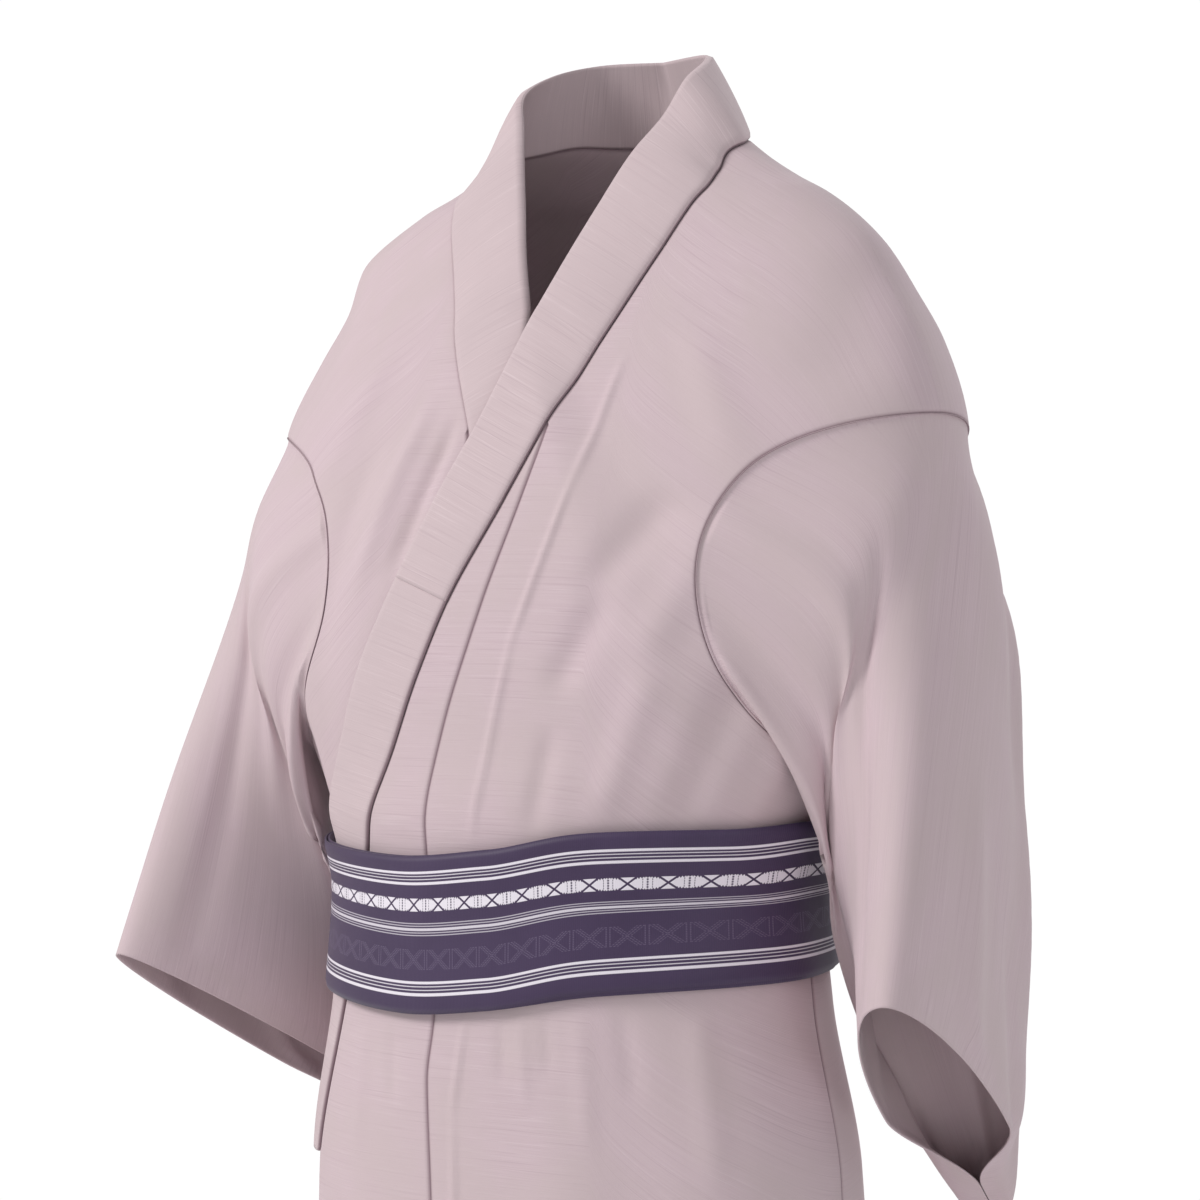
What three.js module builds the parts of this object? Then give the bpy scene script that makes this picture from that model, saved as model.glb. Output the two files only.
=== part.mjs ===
// A kimono with its narrow sash, in its worn form and hollow. Millimetres, +Z up, the front faces -Y.
// The origin is on the body's axis, level with the base of the neck. "Left" is the wearer's left, +X.
import * as THREE from 'three';

// The cloth and its seams.
const clothWall = 1.6;
const collarWall = 3.0;
const overCollarWall = 1.2;
const sashWall = 2.0;
const seamGap = 0.3;
const overlapLift = 6.4;

// The garment's heights.
const hemZ = -1400;
const underarmZ = -362;
const tipZ = -163;
const overCollarEndZ = -269;
const collarEndZ = -600;

// The garment's sections round the body's axis: half width on the wearer's left and right, depth in
// front and behind the section's centre, how far behind the axis that centre lies, and how square the
// section is (2 is an ellipse). The right shoulder is drawn in a little, as the garment is worn.
const sections = [
  { z: 40, left: 70, right: 57, front: 30, back: 74, centre: 24, square: 2 },
  { z: 24, left: 78, right: 61, front: 22, back: 78, centre: 24, square: 2 },
  { z: 4, left: 100, right: 83, front: 27, back: 83, centre: 24, square: 2 },
  { z: -12, left: 125, right: 107, front: 35, back: 89, centre: 22, square: 2 },
  { z: -24, left: 147, right: 130, front: 45, back: 94, centre: 20, square: 2.05 },
  { z: -57, left: 188, right: 172, front: 52, back: 104, centre: 14, square: 2.2 },
  { z: -86, left: 208, right: 181, front: 60, back: 113, centre: 8, square: 2.3 },
  { z: -114, left: 225, right: 193, front: 71, back: 119, centre: 4, square: 2.3 },
  { z: -160, left: 242, right: 213, front: 84, back: 123, centre: 0, square: 2.25 },
  { z: -210, left: 248, right: 224, front: 100, back: 121, centre: 0, square: 2.2 },
  { z: -270, left: 238, right: 220, front: 113, back: 116, centre: 0, square: 2.15 },
  { z: -330, left: 207, right: 197, front: 118, back: 109, centre: 0, square: 2.1 },
  { z: -385, left: 170, right: 167, front: 118, back: 102, centre: 0, square: 2.05 },
  { z: -440, left: 152, right: 152, front: 115, back: 98, centre: 0, square: 2 },
  { z: -500, left: 155, right: 155, front: 115, back: 104, centre: 0, square: 2.1 },
  { z: -600, left: 171, right: 171, front: 113, back: 118, centre: 0, square: 2.2 },
  { z: -720, left: 175, right: 175, front: 108, back: 122, centre: 0, square: 2.2 },
  { z: -900, left: 170, right: 170, front: 104, back: 117, centre: 0, square: 2.15 },
  { z: -1150, left: 164, right: 164, front: 104, back: 112, centre: 0, square: 2.1 },
  { z: -1400, left: 160, right: 160, front: 112, back: 113, centre: 0, square: 2.05 },
];

// The neck, from the centre back to the front: where the collar is sewn on, as an angle from the
// front and a height, and the collar's free edge.
const neck = [
  { seamAngle: 180, seamZ: 22, edgeX: 0, edgeY: 88, edgeZ: 74 },
  { seamAngle: 140, seamZ: 22, edgeX: 37, edgeY: 73, edgeZ: 73 },
  { seamAngle: 110, seamZ: 15, edgeX: 54, edgeY: 46, edgeZ: 64 },
  { seamAngle: 84, seamZ: 4, edgeX: 57, edgeY: 18, edgeZ: 48 },
  { seamAngle: 74, seamZ: -12, edgeX: 50, edgeY: 6, edgeZ: 26 },
  { seamAngle: 66, seamZ: -29, edgeX: 38, edgeY: -12, edgeZ: 1 },
  { seamAngle: 56, seamZ: -60, edgeX: 26, edgeY: -29, edgeZ: -30 },
  { seamAngle: 47, seamZ: -86, edgeX: 15, edgeY: -45, edgeZ: -60 },
];

// The crossing fronts below the neck. The collar's seam and free edge are angles from the front on
// the upper, left front, and the right front mirrors it underneath.
const crossing = [
  { seamAngle: 35, seamZ: -117, edgeAngle: 4, edgeZ: -94 },
  { seamAngle: 20.7, seamZ: -157.5, edgeAngle: -6.8, edgeZ: -138.8 },
  { seamAngle: 3.8, seamZ: -213.4, edgeAngle: -19.5, edgeZ: -195 },
  { seamAngle: -11.4, seamZ: -269.2, edgeAngle: -30, edgeZ: -255 },
  { seamAngle: -18.5, seamZ: -306, edgeAngle: -37, edgeZ: -294 },
  { seamAngle: -27, seamZ: -350.5, edgeAngle: -45, edgeZ: -341 },
  { seamAngle: -41, seamZ: -414, edgeAngle: -60, edgeZ: -407 },
  { seamAngle: -54, seamZ: -510, edgeAngle: -73, edgeZ: -506 },
  { seamAngle: -63, seamZ: -600, edgeAngle: -82, edgeZ: -600 },
];

// The seam between the front panel and the narrow overlap panel, and the overlap's free front edge.
const fronts = [
  { z: -157.5, seamAngle: 20.7, edgeAngle: 20.7 },
  { z: -198, seamAngle: 13.4, edgeAngle: 8 },
  { z: -289, seamAngle: -2.2, edgeAngle: -15 },
  { z: -381, seamAngle: -14.8, edgeAngle: -34 },
  { z: -414, seamAngle: -16.5, edgeAngle: -41 },
  { z: -503, seamAngle: -14.5, edgeAngle: -53 },
  { z: -545, seamAngle: -17.2, edgeAngle: -58 },
  { z: -613, seamAngle: -16.6, edgeAngle: -64 },
  { z: -900, seamAngle: -16, edgeAngle: -66 },
  { z: -1400, seamAngle: -15, edgeAngle: -67 },
];

// The armhole is an oval on the body, and the side seam runs down from its lowest point.
const armhole = { angle: 88, z: -261, halfAngle: 34, halfHeight: 101 };

// The sleeve leaves the armhole a little inwards, and stands off it further under the arm than at
// the top.
const sleeveStart = { under: 11, top: 1, inwards: 0.07 };

// The left sleeve's sections from the armhole to the cuff: the fold over the front of the arm and the
// fold at the sleeve's lower edge, each as x, y and z, how far the outer face stands out between them,
// how far the two faces come together where they are sewn up below the cuff's opening, and how much
// nearer the body the right sleeve's upper fold hangs.
const sleeve = [
  { fold: [244, -14, -196], tail: [184, 24, -446], out: [20, 76, 0], sewn: 0, nearer: 16 },
  { fold: [250, -48, -284], tail: [186, 88, -556], out: [36, 52, 0], sewn: 0, nearer: 9 },
  { fold: [257, -84, -370], tail: [187, 146, -626], out: [40, 26, 0], sewn: 0.15, nearer: 6 },
  { fold: [263, -115, -450], tail: [187, 182, -656], out: [39, 14, 0], sewn: 0.5, nearer: 5 },
  { fold: [265, -128, -482], tail: [187, 188, -654], out: [36, 8, 0], sewn: 0.97, nearer: 5 },
];
const sewnFrom = { start: 0.56, end: 0.74 };

// The sash: how far it stands off what it is tied over, and its middle line, which dips to the right
// of the front and rises to the wearer's left and the back. Its outer turn is a little higher on the
// left, so that the inner one's lower edge shows.
const sash = { width: 93, standOff: 4, turnStep: 2.4, outerTurnRise: 2 };
const sashLine = [
  { angle: -180, z: -424 },
  { angle: -120, z: -438 },
  { angle: -60, z: -455 },
  { angle: -24, z: -459 },
  { angle: 5, z: -453.5 },
  { angle: 36, z: -443 },
  { angle: 90, z: -436 },
  { angle: 180, z: -424 },
];

// The knot behind the waist: a flattened band, and the two ends that leave it, the tail doubled over
// and the hand end folded to half the width. Tilt is degrees up from the wearer's left.
const sashKnot = { reach: 48.2, depth: 7, width: 70, tilt: 24, x: 0, y: 124.1, z: -420 };
const sashTail = { length: 178, width: 90, thick: 4, bend: 16, tilt: 24, x: 30, y: 122.1, z: -406 };
const sashHand = { length: 150, width: 44, thick: 4, bend: 0, tilt: 150, x: -26, y: 110.6, z: -405 };

const clothColour = '#cebfc2';
const sashColour = '#463a57';

const clothMaterial = new THREE.MeshStandardMaterial({ color: clothColour, roughness: 0.85, metalness: 0 });
const collarMaterial = new THREE.MeshStandardMaterial({ color: clothColour, roughness: 0.82, metalness: 0 });
const sashMaterial = new THREE.MeshStandardMaterial({ color: sashColour, roughness: 0.6, metalness: 0 });

const radians = THREE.MathUtils.degToRad;
const mix = THREE.MathUtils.lerp;

function ease(from, to, value) {
  return THREE.MathUtils.smoothstep(value, Math.min(from, to), Math.max(from, to));
}

// A smooth curve through one column of a table, without overshoot between its rows.
function column(rows, key, name, at) {
  const xs = rows.map((row) => row[key]);
  const ys = rows.map((row) => row[name]);
  const down = xs[0] > xs[xs.length - 1];
  if (down) {
    xs.reverse();
    ys.reverse();
  }
  const last = xs.length - 1;
  const x = THREE.MathUtils.clamp(at, xs[0], xs[last]);
  let i = 0;
  while (i < last - 1 && x > xs[i + 1]) {
    i += 1;
  }
  const step = (k) => xs[k + 1] - xs[k];
  const slope = (k) => (ys[k + 1] - ys[k]) / step(k);
  const tangent = (k) => {
    if (k === 0) {
      return slope(0);
    }
    if (k === last) {
      return slope(last - 1);
    }
    const before = slope(k - 1);
    const after = slope(k);
    if (before * after <= 0) {
      return 0;
    }
    const weightBefore = 2 * step(k) + step(k - 1);
    const weightAfter = step(k) + 2 * step(k - 1);
    return (weightBefore + weightAfter) / (weightBefore / before + weightAfter / after);
  };
  const h = step(i);
  const t = (x - xs[i]) / h;
  const start = ys[i] * (2 * t ** 3 - 3 * t ** 2 + 1) + tangent(i) * h * (t ** 3 - 2 * t ** 2 + t);
  const end = ys[i + 1] * (3 * t ** 2 - 2 * t ** 3) + tangent(i + 1) * h * (t ** 3 - t ** 2);
  return start + end;
}

// A point of the body's surface at an angle from the front (positive to the left) and a height.
function bodyPoint(angle, z) {
  const size = (name) => column(sections, 'z', name, z);
  const across = Math.sin(radians(angle));
  const forward = Math.cos(radians(angle));
  const depth = forward > 0 ? size('front') : size('back');
  const width = across > 0 ? size('left') : size('right');
  const square = size('square');
  const sum = Math.abs(across / width) ** square + Math.abs(forward / depth) ** square;
  const radius = sum ** (-1 / square);
  return new THREE.Vector3(radius * across, size('centre') - radius * forward, z);
}

function outward(angle, z) {
  const round = bodyPoint(angle + 0.2, z).sub(bodyPoint(angle - 0.2, z));
  const up = bodyPoint(angle, z + 1).sub(bodyPoint(angle, z - 1));
  return round.cross(up).normalize();
}

function onBody(angle, z, lift) {
  return bodyPoint(angle, z).addScaledVector(outward(angle, z), lift);
}

// How far the left front stands off, where the right front and its collar lie underneath.
function leftLift(angle, z) {
  const collarEdge = -column(crossing, 'edgeZ', 'edgeAngle', z);
  const underEdge = mix(66, collarEdge, ease(collarEndZ - 110, collarEndZ - 10, z));
  const below = 1 - ease(-84, -22, z);
  return overlapLift * below * (1 - ease(underEdge + 4, underEdge + 24, angle));
}

function liftOf(side, angle, z) {
  return side > 0 ? leftLift(angle, z) : 0;
}

// A wall of cloth between two grids of points, closed round its edges. A closed wall joins its last
// column to its first.
function clothWallGeometry(innerRows, outerRows, closed = false) {
  const rows = innerRows.length;
  const columns = innerRows[0].length;
  const positions = [];
  for (const grid of [innerRows, outerRows]) {
    for (const row of grid) {
      for (const point of row) {
        positions.push(point.x, point.y, point.z);
      }
    }
  }
  const inner = (i, j) => i * columns + (j % columns);
  const outer = (i, j) => rows * columns + inner(i, j);
  const index = [];
  const quad = (a, b, c, d) => index.push(a, b, c, a, c, d);
  const across = closed ? columns : columns - 1;
  for (let i = 0; i < rows - 1; i += 1) {
    for (let j = 0; j < across; j += 1) {
      quad(outer(i, j), outer(i + 1, j), outer(i + 1, j + 1), outer(i, j + 1));
      quad(inner(i, j), inner(i, j + 1), inner(i + 1, j + 1), inner(i + 1, j));
    }
  }
  for (let j = 0; j < across; j += 1) {
    quad(inner(0, j), outer(0, j), outer(0, j + 1), inner(0, j + 1));
    quad(inner(rows - 1, j + 1), outer(rows - 1, j + 1), outer(rows - 1, j), inner(rows - 1, j));
  }
  if (!closed) {
    for (let i = 0; i < rows - 1; i += 1) {
      quad(inner(i + 1, 0), outer(i + 1, 0), outer(i, 0), inner(i, 0));
      quad(inner(i, across), outer(i, across), outer(i + 1, across), inner(i + 1, across));
    }
  }
  if (signedVolume(positions, index) < 0) {
    index.reverse();
  }
  const geometry = new THREE.BufferGeometry();
  geometry.setAttribute('position', new THREE.Float32BufferAttribute(positions, 3));
  geometry.setIndex(index);
  geometry.computeVertexNormals();
  return geometry;
}

function signedVolume(positions, index) {
  const corner = (k) => new THREE.Vector3().fromArray(positions, 3 * index[k]);
  let volume = 0;
  for (let k = 0; k < index.length; k += 3) {
    volume += corner(k).dot(corner(k + 1).cross(corner(k + 2))) / 6;
  }
  return volume;
}

function clothMesh(name, geometry, material) {
  const mesh = new THREE.Mesh(geometry, material);
  mesh.name = name;
  return mesh;
}

function spaced(from, to, count) {
  return Array.from({ length: count + 1 }, (_, i) => mix(from, to, i / count));
}

// A panel of the body from rows of places on it. A place is an angle, a height and a side.
function bodyPanel(name, side, rowsOfPlaces) {
  const grid = (out) =>
    rowsOfPlaces.map((row) =>
      row.map(({ angle, z }) => onBody(side * angle, z, liftOf(side, side * angle, z) + out)),
    );
  return clothMesh(name, clothWallGeometry(grid(0), grid(clothWall)), clothMaterial);
}

// Places across a panel between its two edges, each edge half a seam's gap inside its line.
function placesBetween(start, end, count) {
  const apart = bodyPoint(start.angle, start.z).distanceTo(bodyPoint(end.angle, end.z));
  const trim = seamGap / 2 / apart;
  return spaced(trim, 1 - trim, count).map((t) => ({
    angle: mix(start.angle, end.angle, t),
    z: mix(start.z, end.z, t),
  }));
}

// Heights that the front panel, the overlap panel and the collar share, so that their edges match.
const chestHeights = [...spaced(tipZ, overCollarEndZ, 4), ...spaced(overCollarEndZ, underarmZ, 4).slice(1)];
const skirtHeights = [
  -388, -412, -434, -456, -480, -506, -548, collarEndZ, -680, -780, -900, -1030, -1160, -1285, hemZ,
];
const frontHeights = [...chestHeights, ...skirtHeights];

function overlapSeam(z) {
  return { angle: column(fronts, 'z', 'seamAngle', z), z };
}

function overlapEdge(z) {
  const onCollar = z > collarEndZ;
  const angle = onCollar ? column(crossing, 'seamZ', 'seamAngle', z) : column(fronts, 'z', 'edgeAngle', z);
  return { angle, z };
}

function armholePlace(turn) {
  return {
    angle: armhole.angle - armhole.halfAngle * Math.sin(turn),
    z: armhole.z + armhole.halfHeight * Math.cos(turn),
  };
}

// The neck seam from the centre back to the tip of the overlap panel.
function neckSeamPlaces() {
  const seams = [...neck, ...crossing.slice(0, 1)];
  const rows = seams.map((row, at) => ({ at, angle: row.seamAngle, z: row.seamZ }));
  const stations = spaced(0, rows.length - 1, 2 * (rows.length - 1));
  const places = stations.map((at) => ({
    angle: column(rows, 'at', 'angle', at),
    z: column(rows, 'at', 'z', at),
  }));
  return [...places, { angle: column(crossing, 'seamZ', 'seamAngle', -140), z: -140 }];
}

// The rows beside the armhole fan out from these places: the centre back, the neck seam and the seam
// of the overlap panel. Each meets the armhole at its own turn round the oval.
const backCentre = spaced(underarmZ, 0, 5).map((z) => ({ angle: 180, z }));
const fanPlaces = [...backCentre, ...neckSeamPlaces(), ...chestHeights.map(overlapSeam)];
const armholeTurns = (() => {
  const lengths = [0];
  for (let i = 1; i < fanPlaces.length; i += 1) {
    const [a, b] = [fanPlaces[i - 1], fanPlaces[i]].map(({ angle, z }) => bodyPoint(angle, z));
    lengths.push(lengths[i - 1] + a.distanceTo(b));
  }
  return lengths.map((length) => Math.PI * (2 * (length / lengths[lengths.length - 1]) - 1));
})();

// One length of cloth for each half: up the back, over the shoulder and down the front.
function bodyHalf(name, side) {
  const across = 8;
  const backHeights = [hemZ, -1200, -1000, -820, -690, -600, -545, -505, -470, -440, -412, -388];
  const sideSeam = (z) => ({ angle: armhole.angle, z });
  const backRows = backHeights.map((z) => placesBetween({ angle: 180, z }, sideSeam(z), across));
  const middleRows = fanPlaces.map((place, i) => placesBetween(place, armholePlace(armholeTurns[i]), across));
  const frontRows = skirtHeights.map((z) => placesBetween(overlapSeam(z), sideSeam(z), across));
  return bodyPanel(name, side, [...backRows, ...middleRows, ...frontRows]);
}

// The narrow panel that widens each front, from its pointed tip under the collar to the hem.
function overlapPanel(name, side) {
  const rows = frontHeights.map((z) => placesBetween(overlapSeam(z), overlapEdge(z), 4));
  return bodyPanel(name, side, rows);
}

// The collar's stations down one side, from the nape to its lower end: the seam, the free edge and
// the body's way out at the seam.
function collarStations(side) {
  const place = (angle, z) => onBody(side * angle, z, liftOf(side, side * angle, z));
  const neckEdges = neck.map((row) => {
    const rise = liftOf(side, side * row.seamAngle, row.edgeZ);
    return new THREE.Vector3(side * row.edgeX, row.edgeY - rise, row.edgeZ);
  });
  const seams = [...neckSeamPlaces(), ...frontHeights.filter((z) => z >= collarEndZ).map(overlapEdge)];
  const lastEdge = place(crossing[0].edgeAngle, crossing[0].edgeZ);
  const edgeCurve = new THREE.CatmullRomCurve3([...neckEdges, lastEdge]);
  const last = 2 * neck.length;
  return seams.map(({ angle, z }, i) => {
    const edgeAngle = column(crossing, 'seamZ', 'edgeAngle', z);
    const edgeZ = column(crossing, 'seamZ', 'edgeZ', z);
    return {
      seam: place(angle, z),
      edge: i <= last ? edgeCurve.getPoint(i / last) : place(edgeAngle, edgeZ),
      out: outward(side * angle, z),
      across: i <= last ? null : (t) => place(mix(angle, edgeAngle, t), mix(z, edgeZ, t)),
    };
  });
}

// The collar's two faces, from its left end over the nape to its right end.
const collarFaces = (() => {
  const right = collarStations(-1).slice(1);
  const stations = [...collarStations(1).reverse(), ...right];
  const bow = 2.2;
  const across = 4;
  const faces = { inner: [], outer: [] };
  stations.forEach((station, i) => {
    const before = stations[Math.max(i - 1, 0)];
    const after = stations[Math.min(i + 1, stations.length - 1)];
    const middle = ({ seam, edge }) => seam.clone().add(edge).multiplyScalar(0.5);
    const width = station.edge.clone().sub(station.seam);
    const bandOut = middle(after).sub(middle(before)).cross(width).normalize();
    const trim = seamGap / 2 / width.length();
    const overNeck = (t) =>
      station.seam.clone().addScaledVector(width, t).addScaledVector(bandOut, bow * 4 * t * (1 - t));
    const points = spaced(trim, 1, across).map((t) => ({
      at: station.across ? station.across(t) : overNeck(t),
      out: station.out.clone().lerp(bandOut, ease(0, 0.5, t)).normalize(),
    }));
    faces.inner.push(points.map(({ at }) => at));
    faces.outer.push(points.map(({ at, out }) => at.clone().addScaledVector(out, collarWall)));
  });
  return faces;
})();

function collar() {
  return clothMesh('collar', clothWallGeometry(collarFaces.inner, collarFaces.outer), collarMaterial);
}

// The over-collar lies on the collar's outer face, and ends part of the way down each front.
function overCollar() {
  const rowsBelow = frontHeights.filter((z) => z < overCollarEndZ && z >= collarEndZ).length;
  const rows = collarFaces.outer.slice(rowsBelow, collarFaces.outer.length - rowsBelow);
  const inner = collarFaces.inner.slice(rowsBelow, collarFaces.inner.length - rowsBelow);
  const raised = (height) =>
    rows.map((row, i) =>
      row.map((point, j) => {
        const out = point.clone().sub(inner[i][j]).normalize();
        return point.clone().addScaledVector(out, height);
      }),
    );
  const geometry = clothWallGeometry(raised(seamGap), raised(seamGap + overCollarWall));
  return clothMesh('over_collar', geometry, collarMaterial);
}

// The sleeve's seam lies inside the armhole's edge by the gap between them.
function sleeveSeamPlace(turn) {
  const inside = 1 - (1.3 * seamGap) / armhole.halfHeight;
  const edge = armholePlace(turn);
  return { angle: mix(armhole.angle, edge.angle, inside), z: mix(armhole.z, edge.z, inside) };
}

// A sleeve: a bag of cloth round the arm, open at the armhole and for the upper part of the cuff.
function sleeveMesh(name, side) {
  const ringCount = 16;
  const sectionPoint = (row, turn) => {
    const fold = new THREE.Vector3(...row.fold);
    const tail = new THREE.Vector3(...row.tail);
    const down = (1 - Math.cos(turn)) / 2;
    const open = 1 - row.sewn * ease(sewnFrom.start, sewnFrom.end, down);
    const point = fold.lerp(tail, down);
    point.addScaledVector(new THREE.Vector3(...row.out), Math.sin(turn) * open);
    point.x = side * point.x + (side < 0 ? row.nearer * (1 - down) : 0);
    return point;
  };
  const middle = onBody(side * armhole.angle, armhole.z, 0);
  const turns = armholeTurns.slice(0, -1);
  const seamOut = turns.map((turn) => {
    const { angle, z } = sleeveSeamPlace(turn);
    return outward(side * angle, z);
  });
  const lines = turns.map((turn, j) => {
    const { angle, z } = sleeveSeamPlace(turn);
    const start = onBody(side * angle, z, liftOf(side, side * angle, z));
    const standing = mix(sleeveStart.under, sleeveStart.top, (1 + Math.cos(turn)) / 2);
    const leaving = start.clone().lerp(middle, sleeveStart.inwards).addScaledVector(seamOut[j], standing);
    const points = [start, leaving, ...sleeve.map((row) => sectionPoint(row, -turn))];
    return new THREE.CatmullRomCurve3(points, false, 'centripetal');
  });
  const around = lines.length;
  const inner = spaced(0, 1, ringCount).map((t) => lines.map((line) => line.getPoint(t)));
  const outer = inner.map((ring, i) =>
    ring.map((point, j) => {
      if (i === 0) {
        return point.clone().addScaledVector(seamOut[j], clothWall);
      }
      const along = inner[Math.min(i + 1, ringCount)][j].clone().sub(inner[i - 1][j]);
      const round = ring[(j + 1) % around].clone().sub(ring[(j + around - 1) % around]);
      return point.clone().addScaledVector(along.cross(round).normalize(), -side * clothWall);
    }),
  );
  return clothMesh(name, clothWallGeometry(inner, outer, true), clothMaterial);
}

function sashPoint(angle, across, turn, out) {
  const risen = turn * sash.outerTurnRise * ease(6, 30, angle) * (1 - ease(140, 175, angle));
  const z = column(sashLine, 'angle', 'z', angle) + across * sash.width + risen;
  const overFronts = leftLift(angle, z) * (1 - ease(80, 118, -angle));
  return onBody(angle, z, overFronts + sash.standOff + turn * sash.turnStep + out);
}

// One turn of the sash round the waist.
function sashTurn(name, turn) {
  const angles = spaced(-180, 180, 60).slice(0, -1);
  const grid = (out) =>
    spaced(-0.5, 0.5, 4).map((across) => angles.map((angle) => sashPoint(angle, across, turn, out)));
  return clothMesh(name, clothWallGeometry(grid(0), grid(sashWall), true), sashMaterial);
}

// A flat piece of the sash's knot, from its middle line: length along x and a bend of its outer end
// away from the back, turned about the y axis and set at a place behind the waist.
function knotPiece(name, { length, width, thick, bend, tilt, x, y, z }) {
  const grid = (out) =>
    spaced(-0.5, 0.5, 8).map((along) =>
      spaced(-0.5, 0.5, 3).map((across) => {
        const lean = bend * Math.max(0, 2 * along) ** 2;
        return new THREE.Vector3(along * length, lean + out, across * width);
      }),
    );
  const mesh = clothMesh(name, clothWallGeometry(grid(0), grid(thick)), sashMaterial);
  mesh.rotation.y = radians(-tilt);
  mesh.position.set(x, y, z);
  return mesh;
}

// The band of the knot: a flattened loop of the sash that holds both ends.
function knotBand(name, { reach, depth, width, tilt, x, y, z }) {
  const grid = (out) =>
    spaced(-0.5, 0.5, 4).map((across) =>
      spaced(0, 2 * Math.PI, 24).slice(0, -1).map((turn) => {
        const side = Math.cos(turn) * (reach + out);
        const back = Math.sin(turn) * (depth + out);
        return new THREE.Vector3(across * width, back, side);
      }),
    );
  const mesh = clothMesh(name, clothWallGeometry(grid(0), grid(sashWall), true), sashMaterial);
  mesh.rotation.y = radians(-tilt);
  mesh.position.set(x, y, z);
  return mesh;
}

const group = new THREE.Group();
for (const [side, word] of [[1, 'left'], [-1, 'right']]) {
  group.add(bodyHalf(`body_${word}`, side));
  group.add(overlapPanel(`overlap_${word}`, side));
  group.add(sleeveMesh(`sleeve_${word}`, side));
}
group.add(collar());
group.add(overCollar());
group.add(sashTurn('sash_inner_turn', 0));
group.add(sashTurn('sash_outer_turn', 1));
group.add(knotPiece('sash_tail_end', sashTail));
group.add(knotPiece('sash_hand_end', sashHand));
group.add(knotBand('sash_knot', sashKnot));

export default group;
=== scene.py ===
import math

import bpy
import numpy as np
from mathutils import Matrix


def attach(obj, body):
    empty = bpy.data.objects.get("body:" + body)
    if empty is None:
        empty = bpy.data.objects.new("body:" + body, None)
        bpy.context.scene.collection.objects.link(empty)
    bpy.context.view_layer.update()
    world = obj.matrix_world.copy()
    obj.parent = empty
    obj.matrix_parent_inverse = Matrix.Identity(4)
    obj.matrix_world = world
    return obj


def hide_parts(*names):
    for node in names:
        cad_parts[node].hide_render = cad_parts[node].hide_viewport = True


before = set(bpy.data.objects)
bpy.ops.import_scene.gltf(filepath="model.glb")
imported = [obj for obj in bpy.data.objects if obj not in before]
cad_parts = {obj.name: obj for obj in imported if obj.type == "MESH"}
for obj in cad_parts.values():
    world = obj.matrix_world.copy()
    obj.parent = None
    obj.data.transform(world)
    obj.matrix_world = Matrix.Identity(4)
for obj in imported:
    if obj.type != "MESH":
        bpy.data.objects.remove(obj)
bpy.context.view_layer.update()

# the camera stands off the kimono's left front, nearly level, at the height of its chest
cameraSpot = {"azimuth": 32.0, "distance": 1.98, "height": -0.276, "lens": 98.0, "yaw": 0.21, "pitch": 0.33}
scene = bpy.context.scene
camera = bpy.data.objects.new("camera", bpy.data.cameras.new("camera"))
scene.collection.objects.link(camera)
camera.data.lens = cameraSpot["lens"]
camera.data.sensor_width = 36.0
camera.data.clip_end = 30.0
turned = math.radians(cameraSpot["azimuth"])
camera.location = (
    cameraSpot["distance"] * math.sin(turned),
    -cameraSpot["distance"] * math.cos(turned),
    cameraSpot["height"],
)
camera.rotation_euler = (
    math.radians(90 + cameraSpot["pitch"]),
    0,
    turned - math.radians(cameraSpot["yaw"]),
)
scene.camera = camera
print("camera set")

# sizes in millimetres, as the garment is cut and worn
clothThick = 1.1
collarThick = 2.8
overCollarThick = 1.1
sashThick = 2.0
seamGap = 0.04
seamWidth = 1.3
hemZ = -1400.0
underarmZ = -362.0
tipZ = -163.0
overCollarEndZ = -269.0
collarEndZ = -600.0

# the worn form's own cross-sections from the neck to the hem: its reach to each side, to the front
# and to the back of its middle, and how square it is
sections = {
    "z": [40, 24, 4, -12, -24, -57, -86, -114, -160, -210, -270, -330, -385, -440, -500, -600, -720,
          -900, -1150, -1400],
    "left": [70, 78, 100, 125, 147, 188, 208, 225, 242, 248, 238, 207, 170, 152, 155, 171, 175, 170,
             164, 160],
    "right": [57, 61, 83, 107, 130, 172, 181, 193, 213, 224, 220, 197, 167, 152, 155, 171, 175, 170,
              164, 160],
    "front": [30, 22, 27, 35, 45, 52, 60, 71, 84, 100, 113, 118, 118, 115, 115, 113, 108, 104,
              104, 112],
    "back": [74, 78, 83, 89, 94, 104, 113, 119, 123, 121, 116, 109, 102, 98, 104, 118, 122, 117,
             112, 113],
    "centre": [24, 24, 24, 22, 20, 14, 8, 4, 0, 0, 0, 0, 0, 0, 0, 0, 0, 0, 0, 0],
    "square": [2, 2, 2, 2, 2.05, 2.2, 2.3, 2.3, 2.25, 2.2, 2.15, 2.1, 2.05, 2, 2.1, 2.2, 2.2, 2.15,
               2.1, 2.05],
}
# the neck seam and the collar's upper edge, from the centre back to the front
neck = {
    "seamAngle": [180, 140, 110, 84, 75.5, 66, 56, 47],
    "seamZ": [22, 22, 15, 4, -12, -29, -60, -86],
    "edgeX": [0, 37, 54, 57, 50, 38, 26, 15],
    "edgeY": [88, 73, 46, 18, 6, -12, -29, -45],
    "edgeZ": [74, 73, 64, 48, 26, 1, -30, -60],
}
# the collar's seam and edge from there on, as the left front crosses over the right
crossing = {
    "seamAngle": [35, 20.7, 3.8, -11.4, -18.5, -27, -41, -54, -63],
    "seamZ": [-117, -157.5, -213.4, -269.2, -306, -350.5, -414, -510, -600],
    "edgeAngle": [4, -6.8, -19.5, -30, -37, -45, -60, -73, -82],
    "edgeZ": [-94, -138.8, -195, -255, -294, -341, -407, -506, -600],
}
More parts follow.
